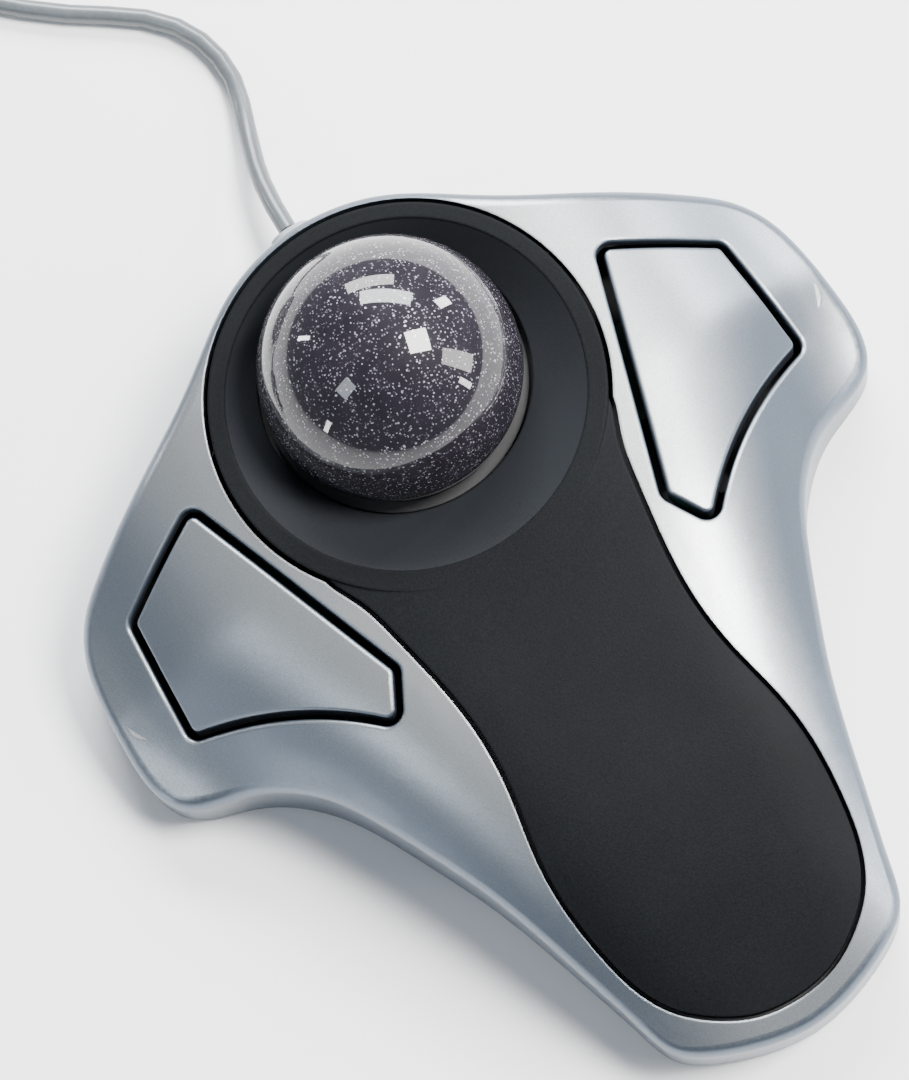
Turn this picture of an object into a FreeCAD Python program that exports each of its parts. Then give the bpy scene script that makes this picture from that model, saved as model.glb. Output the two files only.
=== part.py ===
import FreeCAD, Part

import math
import os

# A desk trackball mouse with a free ball, two large buttons and a USB cord.
# Millimetres. +X is right, +Y is forward (ball and cord end), +Z is up, and the feet stand on Z = 0.

# --- driving dimensions -------------------------------------------------------------------------
BALL_R = 20.0                      # the ball is a standard 40 mm trackball
BALL_AT = (0.0, 42.6, 32.0)
HEAD_AT = (0.0, 38.1)              # centre of the round head and of the collar round the ball
HEAD_R = 32.2
TAIL_Y = -71.6
SIDE_Z = 10.0                      # level that the top falls to, far out on the wings
CREST_Z = 30.4                     # level of the top round the ball, flush with the collar
CREST_END_Y = 8.0                  # behind this the top falls to the tail
SKIRT_Z = 1.6                      # lower edge of the case
FLOOR_Z = 3.6                      # inner face of the bottom cover
WALL = 2.2
EDGE_R = 2.6                       # rounding along the top edge of the case
GROOVE = 1.2                       # gap round each button
PANEL_GAP = 0.7                    # gap round the dark panel
COLLAR_R = 30.1
BALL_HOLE_R = 20.9
PIVOT = (4.0, 19.0)                # Y and Z of the button hinge pins
PIN_R = 1.0
RUNNING = 0.05                     # radial play of a button on its pin
SWITCH_AT = (46.0, 28.0)           # right button's microswitch; the left one mirrors it
PRESS_Y = 30.3                     # where the button's post meets the switch plunger
PLUNGER_TOP = 13.9
BOARD_Z = (5.0, 6.6)
CORD_R = 1.5
COIL_AT = (-54.0, 141.0)
COIL_TURNS_R = (12.5, 21.5)        # centre lines of the innermost and the outermost turn
COIL_LAYERS = 4

# Right half of the case outline, from the head's flank round the wing to the tail
WING = [
    (25.3, 59.6), (30.5, 56.2), (36.5, 52.9), (45.0, 48.7), (53.0, 44.6), (58.8, 40.6), (62.2, 35.6),
    (63.9, 29.0), (64.7, 21.0), (64.6, 13.6), (62.6, 8.6), (58.0, 5.6), (51.5, 3.0), (46.4, -0.6),
    (42.0, -5.6), (38.6, -11.5), (35.0, -19.2), (31.2, -28.0), (27.8, -38.0), (25.0, -48.0),
    (22.4, -57.6), (20.0, -64.0), (15.5, -67.4), (8.5, -70.2),
]
# Right half of the palm panel, from under the collar to its tail
PALM = [
    (18.0, 26.5), (24.8, 22.0), (22.7, 15.5), (21.0, 9.0), (19.8, 2.5), (18.7, -4.8), (18.3, -11.0),
    (19.2, -21.2), (21.0, -30.0), (21.6, -38.0), (20.8, -46.7), (19.0, -54.2), (16.2, -59.2),
    (12.0, -63.0), (7.0, -65.7),
]
# Corners of the right button's opening; the side from the third to the fourth corner is hollow
BUTTON = [(36.0, 43.1), (53.7, 34.8), (55.4, 14.8), (27.6, -4.3), (22.9, 3.9)]
BUTTON_HOLLOW = (40.2, 7.1)
# Cord from the strain relief to the coil, then from the coil to the plug
CORD_ROUTE = [
    (0.0, 77.0, 8.5), (0.2, 85.0, 7.4), (3.0, 95.0, 2.4), (7.6, 107.5, 1.6), (3.4, 120.5, 1.6),
    (-12.5, 131.5, 1.6), (-28.0, 148.0, 1.6), (-40.8, 158.0, 1.6),
]
TAIL_ROUTE = [(-75.2, 144.7, 10.6), (-78.0, 133.0, 9.4), (-80.6, 121.5, 5.0), (-82.0, 112.0, 4.2)]
PLUG_HEADING = 261.0               # degrees from +X that the plug points to

SCREWS_WING = (59.5, 22.0)
SCREWS_TAIL = (11.0, -45.0)
CUP_POSTS = [(0.0, 15.6), (27.0, 42.6), (-27.0, 42.6)]
STANDOFFS = [(16.0, -4.0), (-16.0, -4.0), (13.0, 55.0), (-13.0, 55.0)]


def vec(x, y, z=0.0):
    return FreeCAD.Vector(x, y, z)


# --- basic solids -------------------------------------------------------------------------------
def box(x0, x1, y0, y1, z0, z1):
    return Part.makeBox(x1 - x0, y1 - y0, z1 - z0, vec(x0, y0, z0))


def rod(x, y, z0, z1, radius):
    return Part.makeCylinder(radius, z1 - z0, vec(x, y, z0))


def tube(x, y, z0, z1, outer, inner):
    return rod(x, y, z0, z1, outer).cut(rod(x, y, z0 - 1, z1 + 1, inner))


def sphere(at, radius):
    return Part.makeSphere(radius, vec(*at))


def join(shapes):
    return shapes[0].multiFuse(shapes[1:]).removeSplitter()


def mirrored(shape):
    return shape.mirror(vec(0, 0), vec(1, 0))


def both_sides(shape):
    return Part.makeCompound([shape, mirrored(shape)])


def prism(face, z0, z1):
    low = face.copy()
    low.translate(vec(0, 0, z0))
    return low.extrude(vec(0, 0, z1 - z0))


def closed_outline(first, right_half, last, grow=0.0):
    """A face with a smooth outline, the same on both sides of the Y axis, grown outwards by grow."""
    left_half = [(-x, y) for x, y in reversed(right_half)]
    points = [vec(x, y) for x, y in [first, *right_half, last, *left_half]]
    curve = Part.BSplineCurve()
    curve.interpolate(points, PeriodicFlag=True)
    if grow:
        along = [curve.tangent(curve.parameter(p))[0] for p in points]
        points = [p + vec(-t.y, t.x) * grow for p, t in zip(points, along)]
        curve.interpolate(points, PeriodicFlag=True)
    start, end = curve.FirstParameter, curve.LastParameter
    tail = curve.parameter(points[len(right_half) + 1])
    return Part.Face(Part.Wire([curve.toShape(start, tail), curve.toShape(tail, end)]))


def slot_along_y(width, height, y0, y1, z):
    """An upright oval block that runs along Y."""
    r = height / 2
    half = width / 2 - r
    ends = [Part.makeCylinder(r, y1 - y0, vec(x, y0, z), vec(0, 1, 0)) for x in (-half, half)]
    return join([box(-half, half, y0, y1, z - r, z + r), *ends])


# --- the top's form -----------------------------------------------------------------------------
def crest(y):
    """Height of the top along the middle: level round the ball, falling to the tail."""
    return CREST_Z - 0.0029 * max(0.0, CREST_END_Y - y) ** 2


def spread(y):
    """How far the top reaches sideways before it falls: wide at the wings, narrow at the palm."""
    return 55.8 - 0.377 * max(0.0, 25.0 - y)


def top_height(x, y):
    return SIDE_Z + (crest(y) - SIDE_Z) * math.exp(-(abs(x / spread(y)) ** 5))


def under_top(drop):
    """Everything below the top, lowered by drop."""
    step = 6.0
    rows = [
        [vec(x, y, top_height(x, y) - drop) for y in (step * j - 78 for j in range(27))]
        for x in (step * i - 72 for i in range(25))
    ]
    surface = Part.BSplineSurface()
    surface.interpolate(rows)
    return surface.toShape().extrude(vec(0, 0, -60))


def on_top(edge):
    """Whether an edge lies in the top's surface."""
    low, high = edge.ParameterRange
    points = [edge.valueAt(low + t * (high - low)) for t in (0.2, 0.5, 0.8)]
    return all(abs(p.z - top_height(p.x, p.y)) < 0.2 for p in points)


def upright(edge):
    extent = edge.BoundBox
    return extent.XLength < 0.01 and extent.YLength < 0.01


def case_face(grow=0.0):
    turn = [math.radians(a) for a in (12, 24, 36)]
    head = [(HEAD_R * math.sin(a), HEAD_AT[1] + HEAD_R * math.cos(a)) for a in turn]
    return closed_outline((0.0, HEAD_AT[1] + HEAD_R), head + WING, (0.0, TAIL_Y), grow)


def palm_face(grow=0.0):
    return closed_outline((0.0, 27.5), PALM, (0.0, -66.8), grow)


def button_prism(inset=0.0):
    """The right button's opening with round corners, as an upright prism made smaller by inset."""
    corners = [vec(x, y) for x, y in BUTTON]
    sides = [Part.LineSegment(corners[i], corners[i + 1]).toShape() for i in (0, 1)]
    sides.append(Part.Arc(corners[2], vec(*BUTTON_HOLLOW), corners[3]).toShape())
    sides += [Part.LineSegment(corners[i], corners[(i + 1) % 5]).toShape() for i in (3, 4)]
    block = prism(Part.Face(Part.Wire(sides)), 0, 45)
    block = block.makeFillet(2.4, [e for e in block.Edges if upright(e)])
    if not inset:
        return block
    foot = next(f for f in block.Faces if f.BoundBox.ZMax < 0.01)
    return prism(foot.makeOffset2D(-inset), 0, 45)


# --- case ---------------------------------------------------------------------------------------
def top_shell():
    """The silver case: hollow, rounded along its top edge, open for the buttons and the dark panel."""
    block = prism(case_face(), SKIRT_Z, 45).common(under_top(0))
    block = block.cut(prism(case_face(-WALL), -5, 45).common(under_top(2.4)))
    block = block.makeFillet(EDGE_R, [e for e in block.Edges if e.BoundBox.ZMin > 5 and on_top(e)])
    hole = button_prism()
    block = block.cut(hole).cut(mirrored(hole))
    block = block.makeFillet(0.5, [e for e in block.Edges if on_top(e) and e.Length < 60])
    block = block.cut(prism(palm_face(PANEL_GAP), 5, 45))
    block = block.cut(rod(*HEAD_AT, 20, 45, COLLAR_R + PANEL_GAP))
    x, y = SCREWS_WING
    boss = tube(x, y, 5.4, 13.2, 3.0, 1.25)
    block = block.multiFuse([boss, mirrored(boss)])
    return block.cut(slot_along_y(6.2, 5.2, 60, 75, CORD_ROUTE[0][2]))


def panel_frame():
    """A thin frame welded under the case's opening, which the palm strip's edge rests on."""
    ring = prism(palm_face(2.0), 5, 45).cut(prism(palm_face(-2.0), 5, 45))
    ring = ring.common(under_top(2.4)).cut(under_top(4.2))
    return ring.cut(rod(*HEAD_AT, 5, 45, COLLAR_R + PANEL_GAP))


def centre_panel():
    """The dark panel: a palm strip that runs into a collar with a sloping dish round the ball."""
    x, y = HEAD_AT
    foot = 23.5
    collar = rod(x, y, foot, CREST_Z, COLLAR_R)
    strip = prism(palm_face(), -5, 45).common(under_top(0)).cut(under_top(WALL))
    strip = strip.cut(rod(x, y, -5, 45, COLLAR_R - 1))
    panel = join([collar, strip])
    dish_top = Part.makeCircle(27.4, vec(x, y + 0.4, CREST_Z))
    dish_foot = Part.makeCircle(BALL_HOLE_R, vec(BALL_AT[0], BALL_AT[1], 25.5))
    dish = Part.makeLoft([Part.Wire([dish_foot]), Part.Wire([dish_top])], True, True)
    panel = panel.cut(dish).cut(rod(BALL_AT[0], BALL_AT[1], 0, 45, BALL_HOLE_R))
    hollow = tube(x, y, foot - 1, 26.3, 28.3, 25.0).common(box(-40, 40, 0, 50, 0, 45))
    panel = panel.cut(hollow)
    x, y = SCREWS_TAIL
    boss = tube(x, y, 5.4, 24.0, 3.0, 1.25).common(under_top(1.0))
    return join([panel, boss, mirrored(boss)])


def bottom_cover():
    plate = prism(case_face(-WALL - 0.3), SKIRT_Z, FLOOR_Z)
    raised = []
    for x, y in (SCREWS_WING, SCREWS_TAIL):
        raised += [rod(sx, y, SKIRT_Z, 5.4, 4.0) for sx in (x, -x)]
    raised += [rod(x, y, 2.0, 19.5, 2.6) for x, y in CUP_POSTS]
    raised += [rod(x, y, 2.0, BOARD_Z[0], 2.2) for x, y in STANDOFFS]
    pillars = [box(x0, x0 + 2.3, PIVOT[0] - 2.5, PIVOT[0] + 2.5, 2.0, 20.8) for x0 in (24.1, 31.6)]
    cover = join([plate, *raised, *pillars, *[mirrored(p) for p in pillars]])
    inside = prism(case_face(-WALL - 0.3), -5, 45)
    holes = []
    for x, y in (SCREWS_WING, SCREWS_TAIL):
        holes += [rod(sx, y, 0, 3.4, 2.4) for sx in (x, -x)]
        holes += [rod(sx, y, 0, 10, 1.4) for sx in (x, -x)]
    holes += [rod(x, y, 12.0, 30, 1.0) for x, y in CUP_POSTS]
    holes += [rod(x, y, 2.6, 30, 0.8) for x, y in STANDOFFS]
    holes += hinge_pins().Solids
    holes += rubber_feet().Solids
    return cover.common(inside).cut(Part.makeCompound(holes))


def rubber_feet():
    """Two round pads under the wings and two oblong ones at the head and the tail."""
    round_pad = rod(49.0, 22.0, 0, 2.0, 6.0)
    oblong = [
        join([box(-5, 5, y - 3.5, y + 3.5, 0, 2), rod(-5, y, 0, 2, 3.5), rod(5, y, 0, 2, 3.5)])
        for y in (60.0, -60.0)
    ]
    return Part.makeCompound([round_pad, mirrored(round_pad), *oblong])


def rating_label():
    label = box(-16, 16, -24, -4, SKIRT_Z - 0.15, SKIRT_Z)
    return label.makeFillet(2.0, [e for e in label.Edges if upright(e)])


def screw(x, y, head_z0, head_z1, tip_z, head_r, shank_r):
    """A pan-head screw with a cross recess. Its tip is above the head when tip_z is."""
    head = rod(x, y, head_z0, head_z1, head_r)
    upwards = tip_z > head_z1
    face = head_z0 if upwards else head_z1
    shank = rod(x, y, head_z1, tip_z, shank_r) if upwards else rod(x, y, tip_z, head_z0, shank_r)
    arm = 0.6 * head_r
    cross = join([
        box(x - arm, x + arm, y - 0.3, y + 0.3, face - 0.6, face + 0.6),
        box(x - 0.3, x + 0.3, y - arm, y + arm, face - 0.6, face + 0.6),
    ])
    return join([head, shank]).cut(cross)


def case_screws():
    screws = []
    for (x, y), tip in ((SCREWS_WING, 11.0), (SCREWS_TAIL, 13.0)):
        screws += [screw(sx, y, 1.9, 3.4, tip, 2.2, 1.25) for sx in (x, -x)]
    return Part.makeCompound(screws)


# --- buttons and switches -----------------------------------------------------------------------
def right_button():
    """A plate in the top's own form with a skirt, a hinge boss and a post over the switch."""
    block = button_prism(GROOVE).common(under_top(0))
    block = block.makeFillet(0.6, [e for e in block.Edges if on_top(e)])
    pocket = button_prism(GROOVE + 1.1)
    button = block.cut(pocket.common(under_top(2.0))).cut(under_top(4.6))
    y, z = PIVOT
    boss = box(26.8, 31.2, y - 2.0, y + 2.0, z - 2.0, 30).common(under_top(1.0))
    x = SWITCH_AT[0]
    post = box(x - 1.5, x + 1.5, PRESS_Y - 1.5, PRESS_Y + 1.5, PLUNGER_TOP, 30).common(under_top(1.0))
    bore = Part.makeCylinder(PIN_R + RUNNING, 12, vec(23, y, z), vec(1, 0, 0))
    return join([button, boss, post]).cut(bore)


def left_button():
    return mirrored(right_button())


def hinge_pins():
    return both_sides(Part.makeCylinder(PIN_R, 9.8, vec(24.1, *PIVOT), vec(1, 0, 0)))


def right_switch():
    x, y = SWITCH_AT
    body = box(x - 2.9, x + 2.9, y - 6.4, y + 6.4, BOARD_Z[1], 13.1)
    body = body.makeFillet(0.4, [e for e in body.Edges if upright(e)])
    well = box(x - 1.6, x + 1.6, PRESS_Y - 1.0, PRESS_Y + 1.0, 10.6, 14)
    legs = [rod(x, y + dy, 3.9, BOARD_Z[1], 0.4) for dy in (-5.1, 0.0, 5.1)]
    return join([body.cut(well), *legs])


def right_plunger():
    x = SWITCH_AT[0]
    return box(x - 1.45, x + 1.45, PRESS_Y - 0.6, PRESS_Y + 0.6, 11.5, PLUNGER_TOP)


# --- ball and its seat --------------------------------------------------------------------------
BEARING_R = 1.5
BEARING_TILT = math.radians(50)    # bearing balls sit this far round from the ball's lowest point
CUP_IN_R = 20.5
CUP_OUT_R = 22.0


def ball():
    return sphere(BALL_AT, BALL_R)


def round_the_ball(turn, reach):
    """A point at this reach from the ball's centre, in the ring where the bearing balls sit."""
    out = reach * math.sin(BEARING_TILT)
    x = BALL_AT[0] + out * math.cos(math.radians(turn))
    y = BALL_AT[1] + out * math.sin(math.radians(turn))
    return (x, y, BALL_AT[2] - reach * math.cos(BEARING_TILT))


def ball_bearings():
    reach = BALL_R + BEARING_R + RUNNING
    return Part.makeCompound([sphere(round_the_ball(t, reach), BEARING_R) for t in (90, 210, 330)])


def ball_cup():
    """The bowl under the ball, with seats for three bearing balls, a window and a screw flange."""
    x, y, _ = BALL_AT
    seats = [sphere(round_the_ball(t, CUP_OUT_R), 2.8) for t in (90, 210, 330)]
    flange = rod(x, y, 19.5, 21.0, 24.4)
    ears = [rod(px, py, 19.5, 21.0, 3.2) for px, py in CUP_POSTS]
    bridges = [box(-28, 28, y - 3.2, y + 3.2, 19.5, 21.0), box(-3.2, 3.2, 15.6, y, 19.5, 21.0)]
    cup = join([sphere(BALL_AT, CUP_OUT_R), *seats, flange, *ears, *bridges])
    cup = cup.common(box(-60, 60, -20, 100, 0, 23.2)).cut(sphere(BALL_AT, CUP_IN_R))
    holes = [rod(px, py, 0, 40, 1.1) for px, py in CUP_POSTS]
    holes.append(rod(x, y, 0, 15, 5.0))
    return cup.cut(Part.makeCompound(holes)).cut(ball_bearings())


def cup_screws():
    return Part.makeCompound([screw(x, y, 21.0, 22.3, 13.0, 1.9, 1.0) for x, y in CUP_POSTS])


# --- circuit board ------------------------------------------------------------------------------
def circuit_board():
    """A cross-shaped board: its arms carry the switches, and a post passes through its middle."""
    low, high = BOARD_Z
    board = join([box(-20, 20, -8, 60, low, high), box(-52, 52, 21, 36, low, high)])
    board = board.makeFillet(2.0, [e for e in board.Edges if upright(e)])
    holes = [rod(*CUP_POSTS[0], 0, 10, 3.0)]
    holes += [rod(x, y, 0, 10, 0.9) for x, y in STANDOFFS]
    x, y = SWITCH_AT
    holes += [rod(sx, y + dy, 0, 10, 0.4) for sx in (x, -x) for dy in (-5.1, 0.0, 5.1)]
    return board.cut(Part.makeCompound(holes))


def board_screws():
    return Part.makeCompound([screw(x, y, 6.6, 7.9, 3.4, 1.6, 0.8) for x, y in STANDOFFS])


def on_board(x, y, width, depth, height):
    return box(x - width / 2, x + width / 2, y - depth / 2, y + depth / 2, BOARD_Z[1], BOARD_Z[1] + height)


def optical_sensor():
    x, y, _ = BALL_AT
    return on_board(x, y, 12, 10, 2.0).cut(rod(x, y, 8.0, 10, 1.5))


def sensor_lens():
    x, y, _ = BALL_AT
    plate = box(x - 7, x + 7, y - 6, y + 6, 8.6, 9.8)
    dome = sphere((x, y, 8.6), 3.0).common(box(x - 4, x + 4, y - 4, y + 4, 8.6, 12))
    return join([plate, dome])


def sensor_led():
    x, y = 12.0, BALL_AT[1]
    return join([rod(x, y, BOARD_Z[1], 9.4, 1.5), sphere((x, y, 9.4), 1.5)])


def controller_chip():
    pins = [on_board(sx * 4.6, 3.0 + 1.27 * i, 1.6, 0.45, 0.3) for sx in (-1, 1) for i in range(-3, 4)]
    return join([on_board(0, 3, 7.6, 10.4, 1.7), *pins])


def crystal():
    can = on_board(12, 12, 10.5, 4.2, 3.4)
    return can.makeFillet(1.9, [e for e in can.Edges if upright(e)])


def capacitors():
    return Part.makeCompound([rod(-12, y, BOARD_Z[1], 13.0, 2.6) for y in (8.0, 20.0)])


def chip_resistors():
    places = [(9.0, 20.0 + 2.6 * i) for i in range(4)] + [(-5.0, 24.0 + 2.6 * i) for i in range(3)]
    return Part.makeCompound([on_board(x, y, 2.0, 1.25, 0.6) for x, y in places])


# --- cord, from the connector out to the plug ---------------------------------------------------
def board_socket():
    return on_board(0, 55.2, 13, 5, 5.5).cut(box(-5.55, 5.55, 54.1, 60, 7.4, 11.4))


def cable_connector():
    return box(-5.5, 5.5, 54.2, 59.0, 7.45, 11.35)


def cord_cores():
    """Four thin wires that fan out from the jacket's end into the connector."""
    wires = []
    for place in (-1.5, -0.5, 0.5, 1.5):
        start = vec(0.45 * place, 61.0, CORD_ROUTE[0][2])
        end = vec(2.4 * place, 59.0, 9.4)
        wires.append(Part.makeCylinder(0.3, (end - start).Length, start, end - start))
    return Part.makeCompound(wires)


def inner_cord():
    return Part.makeCylinder(CORD_R, 16.0, vec(0, 61.0, CORD_ROUTE[0][2]), vec(0, 1, 0))


def strain_relief():
    """An oval grommet that clips in the case's front wall and steps down to the cord."""
    z = CORD_ROUTE[0][2]
    front = HEAD_AT[1] + HEAD_R
    steps = [
        slot_along_y(9.0, 7.0, front - WALL - 1.6, front - WALL, z),
        slot_along_y(6.2, 5.2, front - WALL, front + 0.1, z),
        slot_along_y(9.6, 7.4, front + 0.1, front + 2.4, z),
        slot_along_y(6.6, 5.4, front + 2.4, front + 3.2, z),
        slot_along_y(8.2, 6.6, front + 3.2, front + 4.4, z),
        slot_along_y(5.8, 5.0, front + 4.4, front + 5.1, z),
        slot_along_y(6.8, 5.6, front + 5.1, front + 6.2, z),
    ]
    hole = Part.makeCylinder(CORD_R, 40, vec(0, 50, z), vec(0, 1, 0))
    return join(steps).cut(hole)


def round_wire(points):
    """Straight runs joined by arcs, each as large as its two runs allow."""
    edges = []
    start = points[0]
    for before, corner, after in zip(points, points[1:], points[2:]):
        back = (before - corner).normalize()
        ahead = (after - corner).normalize()
        half_turn = (math.pi - back.getAngle(ahead)) / 2
        short = min((before - corner).Length, (after - corner).Length)
        radius = 0.45 * short / math.tan(half_turn)
        print(f"cord bend radius {radius:.1f} mm, turn {math.degrees(2 * half_turn):.0f} degrees")
        first = corner + back * (0.45 * short)
        last = corner + ahead * (0.45 * short)
        middle = (back + ahead).normalize()
        reach = radius / math.cos(half_turn) - radius
        edges.append(Part.LineSegment(start, first).toShape())
        edges.append(Part.Arc(first, corner + middle * reach, last).toShape())
        start = last
    edges.append(Part.LineSegment(start, points[-1]).toShape())
    return Part.Wire(edges)


def cord_tube(route):
    points = [vec(*p) for p in route]
    path = round_wire(points)
    ring = Part.makeCircle(CORD_R, points[0], points[1] - points[0])
    solid = path.makePipeShell([Part.Wire([ring])], True, True)
    expected = math.pi * CORD_R ** 2 * path.Length
    print(f"cord {path.Length:.1f} mm, volume {solid.Volume:.0f} of {expected:.0f} mm3")
    return solid


def cord():
    return cord_tube(CORD_ROUTE)


def cord_tail():
    return cord_tube(TAIL_ROUTE)


def cord_coil():
    """The outer shape of the wound cord: turns side by side in layers."""
    inner, outer = COIL_TURNS_R
    low = CORD_ROUTE[-1][2] - CORD_R
    high = low + 2 * CORD_R * COIL_LAYERS
    return tube(*COIL_AT, low, high, outer + CORD_R, inner - CORD_R)


def at_plug(shape):
    """Moves a piece drawn along +X from the origin to where the plug lies."""
    shape.rotate(vec(0, 0), vec(0, 0, 1), PLUG_HEADING)
    shape.translate(vec(*TAIL_ROUTE[-1]))
    return shape


PLUG_GRIP = 31.0                   # length of the plug's moulded grip with its relief


def plug_grip():
    relief = Part.makeCone(2.4, 3.4, 10.0, vec(0, 0, 0), vec(1, 0, 0))
    grip = box(10, PLUG_GRIP, -7.8, 7.8, -4, 4)
    grip = grip.makeFillet(1.8, grip.Edges)
    pocket = box(PLUG_GRIP - 6, PLUG_GRIP + 1, -6, 6, -2.25, 2.25)
    return at_plug(join([relief, grip]).cut(pocket))


def plug_shell():
    outer = box(PLUG_GRIP - 6, PLUG_GRIP + 12, -6, 6, -2.25, 2.25)
    outer = outer.cut(box(PLUG_GRIP - 7, PLUG_GRIP + 13, -5.7, 5.7, -1.95, 1.95))
    windows = [box(PLUG_GRIP + 5, PLUG_GRIP + 7.4, y - 1.2, y + 1.2, -3, 3) for y in (-2.6, 2.6)]
    return at_plug(outer.cut(Part.makeCompound(windows)))


def plug_tongue():
    tongue = box(PLUG_GRIP - 6, PLUG_GRIP + 11.4, -5.65, 5.65, -1.9, -0.1)
    return at_plug(tongue.cut(Part.makeCompound(contact_bars())))


def contact_bars():
    return [box(PLUG_GRIP - 2, PLUG_GRIP + 10.4, y - 0.5, y + 0.5, -0.3, 0.0) for y in (-3.5, -1, 1, 3.5)]


def plug_contacts():
    return at_plug(Part.makeCompound(contact_bars()))


NODES = {
    "top_shell": top_shell,
    "panel_frame": panel_frame,
    "centre_panel": centre_panel,
    "bottom_cover": bottom_cover,
    "rubber_feet": rubber_feet,
    "rating_label": rating_label,
    "case_screws": case_screws,
    "left_button": left_button,
    "right_button": right_button,
    "hinge_pins": hinge_pins,
    "left_switch": lambda: mirrored(right_switch()),
    "right_switch": right_switch,
    "left_plunger": lambda: mirrored(right_plunger()),
    "right_plunger": right_plunger,
    "ball": ball,
    "ball_cup": ball_cup,
    "ball_bearings": ball_bearings,
    "cup_screws": cup_screws,
    "circuit_board": circuit_board,
    "board_screws": board_screws,
    "optical_sensor": optical_sensor,
    "sensor_lens": sensor_lens,
    "sensor_led": sensor_led,
    "controller_chip": controller_chip,
    "crystal": crystal,
    "capacitors": capacitors,
    "chip_resistors": chip_resistors,
    "board_socket": board_socket,
    "cable_connector": cable_connector,
    "cord_cores": cord_cores,
    "inner_cord": inner_cord,
    "strain_relief": strain_relief,
    "cord": cord,
    "cord_coil": cord_coil,
    "cord_tail": cord_tail,
    "plug_grip": plug_grip,
    "plug_shell": plug_shell,
    "plug_tongue": plug_tongue,
    "plug_contacts": plug_contacts,
}

os.makedirs("parts", exist_ok=True)
for name, make in NODES.items():
    shape = make()
    if not shape.isValid():
        print(f"{name} is not a valid shape")
    print(f"{name}: {len(shape.Solids)} solids, {shape.Volume:.0f} mm3")
    shape.exportStep(f"parts/{name}.step")
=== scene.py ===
import math

import bpy
from mathutils import Matrix, Vector


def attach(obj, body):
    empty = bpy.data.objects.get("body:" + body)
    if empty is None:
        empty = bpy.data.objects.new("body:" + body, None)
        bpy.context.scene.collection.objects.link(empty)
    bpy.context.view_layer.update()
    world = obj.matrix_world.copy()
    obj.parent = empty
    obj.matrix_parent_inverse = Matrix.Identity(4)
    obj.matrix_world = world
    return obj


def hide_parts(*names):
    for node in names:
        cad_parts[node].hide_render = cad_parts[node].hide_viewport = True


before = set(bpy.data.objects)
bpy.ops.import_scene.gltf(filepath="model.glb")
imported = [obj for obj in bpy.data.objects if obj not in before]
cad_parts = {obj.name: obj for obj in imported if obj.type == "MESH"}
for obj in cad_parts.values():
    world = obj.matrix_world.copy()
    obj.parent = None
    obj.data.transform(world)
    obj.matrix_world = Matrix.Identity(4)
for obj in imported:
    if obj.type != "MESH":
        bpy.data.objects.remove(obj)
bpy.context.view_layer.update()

# --- View ---------------------------------------------------------------------------------------
# The mouse is seen from almost straight above, from behind its palm, with the tail turned to the
# lower right. A long lens keeps it nearly free of perspective.
AZIMUTH = math.radians(-11.06)
ELEVATION = math.radians(76)
ROLL = math.radians(-22.07)
back = Vector((
    math.sin(AZIMUTH) * math.cos(ELEVATION),
    -math.cos(AZIMUTH) * math.cos(ELEVATION),
    math.sin(ELEVATION),
))
level_right = (-back).cross(Vector((0, 0, 1))).normalized()
level_up = level_right.cross(-back)
right = math.cos(ROLL) * level_right + math.sin(ROLL) * level_up
up = -math.sin(ROLL) * level_right + math.cos(ROLL) * level_up
LOOKS_AT = Vector((-0.0046, 0.0228, 0))
EYE_DISTANCE = 0.7
camera_data = bpy.data.cameras.new("camera")
camera_data.lens = 150.5
camera_data.clip_end = 10
camera = bpy.data.objects.new("camera", camera_data)
bpy.context.collection.objects.link(camera)
camera.matrix_world = Matrix.Translation(LOOKS_AT + EYE_DISTANCE * back) @ Matrix((
    (right.x, up.x, back.x),
    (right.y, up.y, back.y),
    (right.z, up.z, back.z),
)).to_4x4()
bpy.context.scene.camera = camera


# --- Silver case and buttons --------------------------------------------------------------------
# Moulded ABS, sprayed with a silver metallic lacquer under a satin clear coat. The flakes give it
# a fine sparkle, and the buttons are sprayed with it in the same batch.
class Value:
    """A number that varies over a surface. Arithmetic on it adds Math nodes."""

    def __init__(self, finish, socket):
        self.finish = finish
        self.socket = socket

    def _math(self, operation, first, second):
        sockets = {0: first, 1: second}
        node = self.finish.add("ShaderNodeMath", {"operation": operation}, sockets)
        return Value(self.finish, node.outputs[0])

    def __add__(self, other):
        return self._math("ADD", self, other)

    def __sub__(self, other):
        return self._math("SUBTRACT", self, other)

    def __rsub__(self, other):
        return self._math("SUBTRACT", other, self)

    def __mul__(self, other):
        return self._math("MULTIPLY", self, other)

    def below(self, level):
        return self._math("LESS_THAN", self, level)

    __radd__ = __add__
    __rmul__ = __mul__


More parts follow.
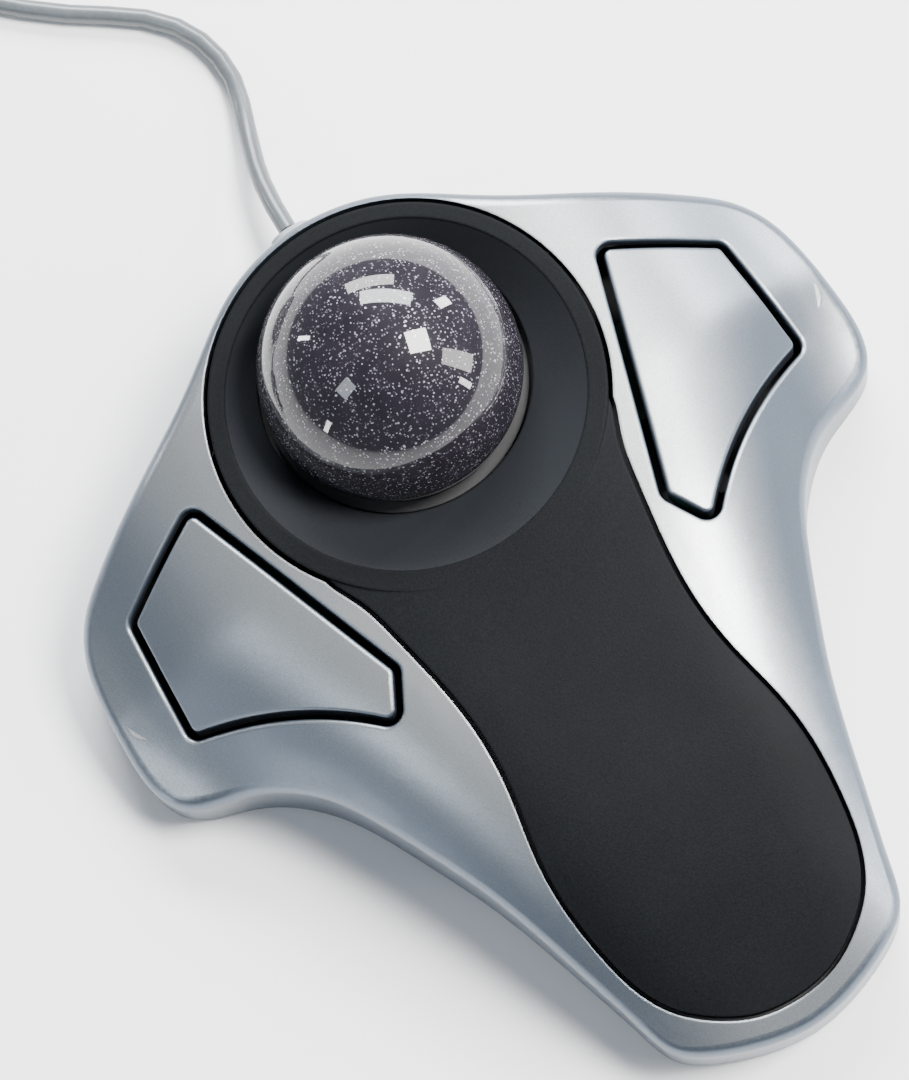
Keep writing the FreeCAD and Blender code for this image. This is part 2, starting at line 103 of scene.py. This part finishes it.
class Finish:
    """A material and the nodes behind its Principled shader."""

    def __init__(self, name, **constants):
        self.material = bpy.data.materials.new(name)
        self.material.use_nodes = True
        self.tree = self.material.node_tree
        self.shader = self.tree.nodes["Principled BSDF"]
        self.place = self.add("ShaderNodeTexCoord").outputs["Object"]
        for socket, value in constants.items():
            self.shader.inputs[socket.replace("_", " ")].default_value = value

    def add(self, kind, settings=None, sockets=None):
        node = self.tree.nodes.new(kind)
        for key, value in (settings or {}).items():
            setattr(node, key, value)
        for key, value in (sockets or {}).items():
            value = getattr(value, "socket", value)
            if isinstance(value, bpy.types.NodeSocket):
                self.tree.links.new(value, node.inputs[key])
            else:
                node.inputs[key].default_value = value
        return node

    def noise(self, size, detail, rough=0.5):
        """Cloudy noise from 0 to 1 whose blots are about this size, in metres."""
        sockets = {"Vector": self.place, "Scale": 1 / size, "Detail": detail, "Roughness": rough}
        return Value(self, self.add("ShaderNodeTexNoise", {}, sockets).outputs[0])

    def distance_from(self, x, y, z):
        """How far a place on the surface is from this point, in metres."""
        sockets = {0: self.place, 1: (x, y, z)}
        node = self.add("ShaderNodeVectorMath", {"operation": "DISTANCE"}, sockets)
        return Value(self, node.outputs["Value"])

    def levelness(self):
        """One where the surface faces straight up, nought where it is upright."""
        facing = self.add("ShaderNodeTexCoord").outputs["Normal"]
        return Value(self, self.add("ShaderNodeSeparateXYZ", {}, {0: facing}).outputs["Z"])

    def mix(self, factor, low, high):
        """A colour between these two."""
        sockets = {0: factor, 6: low, 7: high}
        node = self.add("ShaderNodeMix", {"data_type": "RGBA", "clamp_factor": True}, sockets)
        return node.outputs[2]

    def bump(self, height, distance, strength, edge=0.0):
        """Relief of this height in metres; an edge radius rounds the corners' shading too."""
        sockets = {"Height": height, "Distance": distance, "Strength": strength}
        if edge:
            bevel = self.add("ShaderNodeBevel", {"samples": 4}, {"Radius": edge})
            sockets["Normal"] = bevel.outputs[0]
        return self.add("ShaderNodeBump", {}, sockets).outputs[0]

    def feed(self, **sockets):
        """Links what varies to the shader and hands back the finished material."""
        for name, value in sockets.items():
            value = getattr(value, "socket", value)
            self.tree.links.new(value, self.shader.inputs[name.replace("_", " ")])
        return self.material


def coat_nodes(material, *names):
    """Gives the CAD pieces of these names their finish."""
    for name in names:
        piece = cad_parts[name]
        piece.data.materials.clear()
        piece.data.materials.append(material)


silver = Finish("silver_lacquer", Coat_Weight=0.25, Coat_Roughness=0.25, Specular_IOR_Level=0.5)
flake = silver.noise(0.00022, 3.0, 0.7)
cloud = silver.noise(0.02, 2.0)
# painted shade: where the surface turns down, the lacquer colour is mixed towards a dark blue, for
# the shade on those slopes
level = silver.levelness()
painted_side_shade = (1.0 - level * level) * 2.6
sparkle = flake * 1.6 - 0.3 + cloud * 0.15
top_shade = silver.mix(sparkle, (0.17, 0.18, 0.185, 1), (0.42, 0.435, 0.44, 1))
# the dark blue of the painted shade on the turned-down sides
painted_shade_colour = silver.mix(flake, (0.055, 0.07, 0.09, 1), (0.15, 0.18, 0.22, 1))
silver_with_painted_shade = silver.mix(painted_side_shade, top_shade, painted_shade_colour)
coat_nodes(
    silver.feed(
        Base_Color=silver_with_painted_shade,
        Metallic=flake * 0.2 + 0.75,
        Roughness=0.44 - flake * 0.12,
        Normal=silver.bump(flake, 0.00001, 0.5, edge=0.0005),
    ),
    "top_shell", "left_button", "right_button",
)

# --- Dark palm panel ----------------------------------------------------------------------------
# One moulding in charcoal ABS with a fine spark-eroded grain. It runs from the palm up into the
# collar and the sloping dish round the ball, which fingers have rubbed smoother. The dish is also
# painted paler, as painted light for the light its slope catches.
panel = Finish("charcoal_grain", Specular_IOR_Level=0.06)
grain = panel.noise(0.00035, 2.0, 0.6)
wear = panel.noise(0.018, 3.0)
DISH_MIDDLE = (0.0, 0.0385, 0.030)
DISH_RADIUS = 0.0272
dish_painted_light_and_polish = panel.distance_from(*DISH_MIDDLE).below(DISH_RADIUS)
# the dish term is painted light: it makes the dish paler than the palm
tone_and_painted_dish_light = grain * 0.5 + wear * 0.3 - 0.2 + dish_painted_light_and_polish * 0.8
panel_shade = panel.mix(tone_and_painted_dish_light, (0.002, 0.0024, 0.003, 1), (0.014, 0.0155, 0.018, 1))
coat_nodes(
    panel.feed(
        Base_Color=panel_shade,
        Roughness=0.52 - wear * 0.10 + grain * 0.1 - dish_painted_light_and_polish * 0.08,
        Normal=panel.bump(grain, 0.00003, 0.6, edge=0.0006),
    ),
    "centre_panel",
)

# --- Bottom cover, panel frame and ball cup -----------------------------------------------------
# Plain black ABS mouldings, lightly textured: the plate under the mouse, the frame welded below
# the panel's edge and the bowl that holds the ball.
black = Finish("black_moulding", Specular_IOR_Level=0.4)
black_grain = black.noise(0.0006, 3.0)
coat_nodes(
    black.feed(
        Base_Color=black.mix(black_grain, (0.012, 0.012, 0.013, 1), (0.026, 0.026, 0.028, 1)),
        Roughness=black_grain * 0.2 + 0.45,
        Normal=black.bump(black_grain, 0.00004, 0.5),
    ),
    "bottom_cover", "panel_frame", "ball_cup",
)

# --- Ball ---------------------------------------------------------------------------------------
# A 40 mm ball of dark phenolic resin with silver glitter cast into it, ground and polished. A
# clear layer over the glitter gives it sharp reflections.
ball = Finish(
    "speckled_resin", Coat_Weight=1.0, Coat_Roughness=0.02, Coat_IOR=1.45, Specular_IOR_Level=0.05,
)
drift = ball.noise(0.004, 3.0)


def specks(size, reach, share, shift):
    """Glitter flecks of uneven brightness: one in some of the cells of this size."""
    sockets = {"Vector": ball.place, "Location": (shift, -shift, 2 * shift)}
    moved = ball.add("ShaderNodeMapping", {}, sockets)
    cell = ball.add("ShaderNodeTexVoronoi", {}, {"Vector": moved.outputs[0], "Scale": 1 / size})
    lottery = ball.add("ShaderNodeSeparateColor", {}, {0: cell.outputs["Color"]})
    chosen = (Value(ball, lottery.outputs[0]) - drift * 0.6).below(share - 0.3)
    glow = Value(ball, lottery.outputs[1])
    return Value(ball, cell.outputs["Distance"]).below(reach) * chosen * (glow * glow)


fine_glitter = specks(0.00036, 0.34, 0.50, 0.11) + specks(0.00055, 0.30, 0.28, 0.37)
glitter = fine_glitter + specks(0.0009, 0.18, 0.14, 0.71)
resin = ball.mix(drift, (0.004, 0.003, 0.005, 1), (0.016, 0.013, 0.019, 1))
coat_nodes(
    ball.feed(
        Base_Color=ball.mix(glitter * 0.7, resin, (0.46, 0.45, 0.52, 1)),
        Metallic=glitter * 0.5,
        Roughness=0.46 - glitter * 0.1,
    ),
    "ball",
)

# --- Cord ---------------------------------------------------------------------------------------
# A 3 mm grey PVC cord, 1.73 m from the case to the plug. It leaves the head in a loose S on the
# desk, and the rest is wound in four flat layers of turns a diameter apart.
CORD_DIAMETER = 0.003
cord_route = [
    (0.0, 0.077, 0.0085), (0.0002, 0.085, 0.0074), (0.003, 0.095, 0.0024),
    (0.0076, 0.1075, 0.0016), (0.0034, 0.1205, 0.0016), (-0.0125, 0.1315, 0.0016),
    (-0.028, 0.148, 0.0016), (-0.0408, 0.158, 0.0016),
]
tail_route = [
    (-0.0752, 0.1447, 0.0106), (-0.078, 0.133, 0.0094), (-0.0806, 0.1215, 0.005),
    (-0.082, 0.112, 0.0042),
]
COIL_AT = (-0.054, 0.141)
INNER_TURN = 0.0125
OUTER_TURN = 0.0215
COIL_LAYERS = 4
POINTS_PER_TURN = 18
enter_angle = math.atan2(cord_route[-1][1] - COIL_AT[1], cord_route[-1][0] - COIL_AT[0])
leave_angle = math.atan2(tail_route[0][1] - COIL_AT[1], tail_route[0][0] - COIL_AT[0])
turns_across = (OUTER_TURN - INNER_TURN) / CORD_DIAMETER
# each layer runs across the coil, and a whole turn at its edge climbs to the next one
turns_per_layer = turns_across + 1
last_turn = (leave_angle - enter_angle) / (2 * math.pi)
total_turns = COIL_LAYERS * turns_per_layer - 1 + last_turn
coil_points = []
for i in range(1, int(total_turns * POINTS_PER_TURN)):
    turn = i / POINTS_PER_TURN
    layer = min(int(turn / turns_per_layer), COIL_LAYERS - 1)
    in_layer = turn - layer * turns_per_layer
    across = min(in_layer, turns_across) / turns_across
    climb = max(0.0, in_layer - turns_across) if layer < COIL_LAYERS - 1 else 0.0
    if layer % 2:
        across = 1 - across
    radius = OUTER_TURN - across * (OUTER_TURN - INNER_TURN)
    angle = enter_angle + 2 * math.pi * turn
    coil_points.append((
        COIL_AT[0] + radius * math.cos(angle),
        COIL_AT[1] + radius * math.sin(angle),
        cord_route[-1][2] + (layer + climb) * CORD_DIAMETER,
    ))
cord_curve = bpy.data.curves.new("cord_line", "CURVE")
cord_curve.dimensions = "3D"
cord_curve.bevel_depth = CORD_DIAMETER / 2
cord_curve.bevel_resolution = 5
cord_curve.resolution_u = 3
cord_curve.use_fill_caps = True
line = cord_curve.splines.new("NURBS")
cord_points = cord_route + coil_points + tail_route
line.points.add(len(cord_points) - 1)
for point, place in zip(line.points, cord_points):
    point.co = (*place, 1)
line.order_u = 3
line.use_endpoint_u = True
cord = bpy.data.objects.new("usb_cord", cord_curve)
bpy.context.collection.objects.link(cord)

pvc = Finish("grey_pvc", Specular_IOR_Level=0.5, Coat_Weight=0.25, Coat_Roughness=0.15)
pull = pvc.noise(0.0008, 3.0)
haze = pvc.noise(0.012, 2.0)
grey_pvc = pvc.feed(
    Base_Color=pvc.mix(pull * 0.6 + haze * 0.4, (0.045, 0.052, 0.058, 1), (0.10, 0.112, 0.12, 1)),
    Roughness=haze * 0.15 + 0.30,
    Normal=pvc.bump(pull, 0.00003, 0.35),
)
cord_curve.materials.append(grey_pvc)
coat_nodes(grey_pvc, "inner_cord", "plug_grip")
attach(cord, "case")
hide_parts("cord", "cord_coil", "cord_tail")

# --- Ribs of the plug's grip --------------------------------------------------------------------
# Raised ribs moulded across both flat faces of the grip, for the fingers that pull the plug out.
# They are the last pieces on the cord and, like it, are attached to the case's body.
PLUG_HEADING = math.radians(261)
rib_tree = bpy.data.node_groups.new("rib_row", "GeometryNodeTree")
rib_sizes = {
    "Ribs": ("NodeSocketInt", 6),
    "Pitch": ("NodeSocketVector", (0.0018, 0, 0)),
    "First rib": ("NodeSocketVector", (0.0135, 0, 0.00015)),
    "Rib size": ("NodeSocketVector", (0.0008, 0.0105, 0.0085)),
}
for name, (kind, _) in rib_sizes.items():
    rib_tree.interface.new_socket(name, in_out="INPUT", socket_type=kind)
rib_tree.interface.new_socket("Ribs made", in_out="OUTPUT", socket_type="NodeSocketGeometry")
sizes = rib_tree.nodes.new("NodeGroupInput").outputs
row = rib_tree.nodes.new("GeometryNodeMeshLine")
one_rib = rib_tree.nodes.new("GeometryNodeMeshCube")
place_ribs = rib_tree.nodes.new("GeometryNodeInstanceOnPoints")
make_real = rib_tree.nodes.new("GeometryNodeRealizeInstances")
paint_ribs = rib_tree.nodes.new("GeometryNodeSetMaterial")
paint_ribs.inputs["Material"].default_value = grey_pvc
result = rib_tree.nodes.new("NodeGroupOutput")
for source, target in (
    (sizes["Ribs"], row.inputs["Count"]),
    (sizes["First rib"], row.inputs["Start Location"]),
    (sizes["Pitch"], row.inputs["Offset"]),
    (sizes["Rib size"], one_rib.inputs["Size"]),
    (row.outputs["Mesh"], place_ribs.inputs["Points"]),
    (one_rib.outputs["Mesh"], place_ribs.inputs["Instance"]),
    (place_ribs.outputs["Instances"], make_real.inputs["Geometry"]),
    (make_real.outputs["Geometry"], paint_ribs.inputs["Geometry"]),
    (paint_ribs.outputs["Geometry"], result.inputs["Ribs made"]),
):
    rib_tree.links.new(source, target)
ribs = bpy.data.objects.new("grip_ribs", bpy.data.meshes.new("grip_ribs"))
bpy.context.collection.objects.link(ribs)
row_maker = ribs.modifiers.new("rib_row", "NODES")
row_maker.node_group = rib_tree
for item in rib_tree.interface.items_tree:
    if item.in_out == "INPUT":
        row_maker[item.identifier] = rib_sizes[item.name][1]
made = bpy.data.meshes.new_from_object(ribs.evaluated_get(bpy.context.evaluated_depsgraph_get()))
ribs.modifiers.clear()
ribs.data = made
made.transform(Matrix.Translation(tail_route[-1]) @ Matrix.Rotation(PLUG_HEADING, 4, "Z"))
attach(ribs, "case")

# --- Strain relief ------------------------------------------------------------------------------
# A stepped oval grommet of blue-grey TPE, moulded on the cord and clipped in the front wall.
relief = Finish("grommet_tpe", Specular_IOR_Level=0.45)
dull = relief.noise(0.0005, 3.0)
coat_nodes(
    relief.feed(
        Base_Color=relief.mix(dull, (0.20, 0.225, 0.25, 1), (0.33, 0.36, 0.39, 1)),
        Roughness=dull * 0.15 + 0.42,
        Normal=relief.bump(dull, 0.00003, 0.5, edge=0.0003),
    ),
    "strain_relief",
)

# --- Rubber feet --------------------------------------------------------------------------------
# Die-cut pads of black nitrile rubber, glued in shallow recesses of the bottom cover.
rubber = Finish("black_rubber", Specular_IOR_Level=0.3)
pores = rubber.noise(0.0003, 4.0, 0.65)
coat_nodes(
    rubber.feed(
        Base_Color=rubber.mix(pores, (0.010, 0.010, 0.010, 1), (0.032, 0.031, 0.030, 1)),
        Roughness=pores * 0.15 + 0.72,
        Normal=rubber.bump(pores, 0.00006, 0.8, edge=0.0003),
    ),
    "rubber_feet",
)

# --- Rating label -------------------------------------------------------------------------------
# A blank silver polyester sticker on the bottom cover, slightly crinkled by hand pressure.
label = Finish("silver_sticker", Metallic=0.6)
crinkle = label.noise(0.004, 2.0)
coat_nodes(
    label.feed(
        Base_Color=label.mix(crinkle, (0.50, 0.51, 0.52, 1), (0.62, 0.63, 0.64, 1)),
        Roughness=crinkle * 0.1 + 0.34,
        Normal=label.bump(crinkle, 0.00005, 0.4),
    ),
    "rating_label",
)


# --- Screws, pins and other bright metal --------------------------------------------------------
# Zinc-plated pan-head screws, ground steel hinge pins, the crystal's can and the nickel-plated
# shell of the plug.
def metal(name, low, high, rough, scratch):
    """Plated metal with fine scratches."""
    plate = Finish(name, Metallic=1.0)
    marks = plate.noise(scratch, 5.0, 0.7)
    return plate.feed(
        Base_Color=plate.mix(marks, (*low, 1), (*high, 1)),
        Roughness=marks * 0.2 + rough,
        Normal=plate.bump(marks, 0.00001, 0.4, edge=0.0002),
    )


zinc = metal("zinc_plate", (0.50, 0.51, 0.53), (0.68, 0.69, 0.70), 0.25, 0.0006)
nickel = metal("nickel_plate", (0.58, 0.57, 0.55), (0.74, 0.73, 0.71), 0.16, 0.0009)
gold = metal("gold_flash", (0.75, 0.52, 0.20), (0.88, 0.66, 0.32), 0.20, 0.0005)
coat_nodes(zinc, "case_screws", "cup_screws", "board_screws", "hinge_pins")
coat_nodes(nickel, "plug_shell", "crystal")
coat_nodes(gold, "plug_contacts")


# --- Small mouldings and electronics ------------------------------------------------------------
# Glass-fibre board, black epoxy packages, white nylon connectors, ceramic bearing balls, the
# acrylic lens and the switch plungers: each a plain moulded plastic with its own grain.
def moulding(name, low, high, rough, size, **constants):
    """A moulded or glazed material with a slight mottle."""
    plastic = Finish(name, **constants)
    mottle = plastic.noise(size, 3.0)
    return plastic.feed(
        Base_Color=plastic.mix(mottle, (*low, 1), (*high, 1)),
        Roughness=mottle * 0.12 + rough,
        Normal=plastic.bump(mottle, 0.00003, 0.4),
    )


coat_nodes(
    moulding("solder_mask", (0.008, 0.085, 0.035), (0.015, 0.14, 0.06), 0.30, 0.0015),
    "circuit_board",
)
coat_nodes(
    moulding("black_epoxy", (0.012, 0.012, 0.013), (0.030, 0.030, 0.032), 0.45, 0.0006),
    "controller_chip", "optical_sensor", "chip_resistors", "capacitors",
    "left_switch", "right_switch",
)
coat_nodes(
    moulding("white_nylon", (0.62, 0.61, 0.56), (0.74, 0.73, 0.68), 0.42, 0.002),
    "board_socket", "cable_connector", "plug_tongue",
)
coat_nodes(
    moulding("zirconia", (0.74, 0.74, 0.71), (0.84, 0.84, 0.82), 0.10, 0.001),
    "ball_bearings",
)
coat_nodes(
    moulding("red_acetal", (0.38, 0.03, 0.02), (0.50, 0.05, 0.03), 0.38, 0.001),
    "left_plunger", "right_plunger",
)
coat_nodes(
    moulding("wire_insulation", (0.35, 0.05, 0.03), (0.50, 0.09, 0.05), 0.36, 0.003),
    "cord_cores",
)
coat_nodes(
    moulding(
        "clear_acrylic", (0.86, 0.88, 0.90), (0.93, 0.95, 0.97), 0.05, 0.004,
        Transmission_Weight=0.9, IOR=1.49,
    ),
    "sensor_lens", "sensor_led",
)

# --- Desk and studio light ----------------------------------------------------------------------
# A white desk under four soft lamps, the strongest to the upper right and above the view, with
# five small ones low round the mouse for the lights on the ball. The room itself is pale blue.
DESK_REACH = 3
floor_mesh = bpy.data.meshes.new("desk")
corners = [(x * DESK_REACH, y * DESK_REACH, 0) for x, y in ((-1, -1), (1, -1), (1, 1), (-1, 1))]
floor_mesh.from_pydata(corners, [], [(0, 1, 2, 3)])
floor = bpy.data.objects.new("desk", floor_mesh)
bpy.context.collection.objects.link(floor)
desk = Finish("white_desk", Specular_IOR_Level=0.2)
desk_tone = desk.noise(0.3, 2.0)
floor_mesh.materials.append(desk.feed(
    Base_Color=desk.mix(desk_tone, (0.86, 0.86, 0.865, 1), (0.88, 0.88, 0.88, 1)),
    Roughness=desk_tone * 0.05 + 0.7,
))

world = bpy.data.worlds.new("studio")
bpy.context.scene.world = world
world.use_nodes = True
room = world.node_tree.nodes["Background"]
room.inputs["Color"].default_value = (0.72, 0.83, 1.0, 1)
room.inputs["Strength"].default_value = 0.30
LAMPS_FACE = Vector((0, 0.02, 0.03))


def softbox(name, toward, distance, width, height, power, colour=(1, 1, 1)):
    """A rectangular lamp that faces the mouse; toward is right, up and back in the view."""
    x, y, z = toward
    direction = (x * right + y * up + z * back).normalized()
    lamp = bpy.data.lights.new(name, "AREA")
    lamp.shape = "RECTANGLE"
    lamp.size = width
    lamp.size_y = height
    lamp.energy = power
    lamp.color = colour
    holder = bpy.data.objects.new(name, lamp)
    bpy.context.collection.objects.link(holder)
    holder.location = LAMPS_FACE + distance * direction
    holder.rotation_euler = direction.to_track_quat("Z", "Y").to_euler()


softbox("key", (0.40, 0.36, 0.84), 1.5, 0.5, 0.5, 66.0, (1.0, 0.98, 0.95))
softbox("top_bank", (-0.05, 0.88, 0.46), 1.5, 1.0, 0.35, 46.0, (0.96, 0.98, 1.0))
softbox("right_bank", (0.86, 0.10, 0.48), 1.5, 0.35, 0.8, 16.0, (1.0, 0.98, 0.96))
softbox("left_fill", (-0.60, -0.30, 0.74), 1.5, 0.3, 0.4, 4.0, (0.85, 0.93, 1.0))
softbox("top_window", (-0.23, 0.955, 0.186), 1.0, 0.55, 0.20, 9.0)
softbox("corner_window", (0.60, 0.758, 0.248), 1.0, 0.12, 0.22, 6.0)
softbox("left_strip", (-0.93, 0.33, 0.13), 1.0, 0.05, 0.22, 2.0)
softbox("low_left_strip", (-0.72, -0.66, 0.19), 1.0, 0.06, 0.20, 1.2)
softbox("right_strip", (0.92, -0.18, 0.345), 1.0, 0.08, 0.24, 2.4)
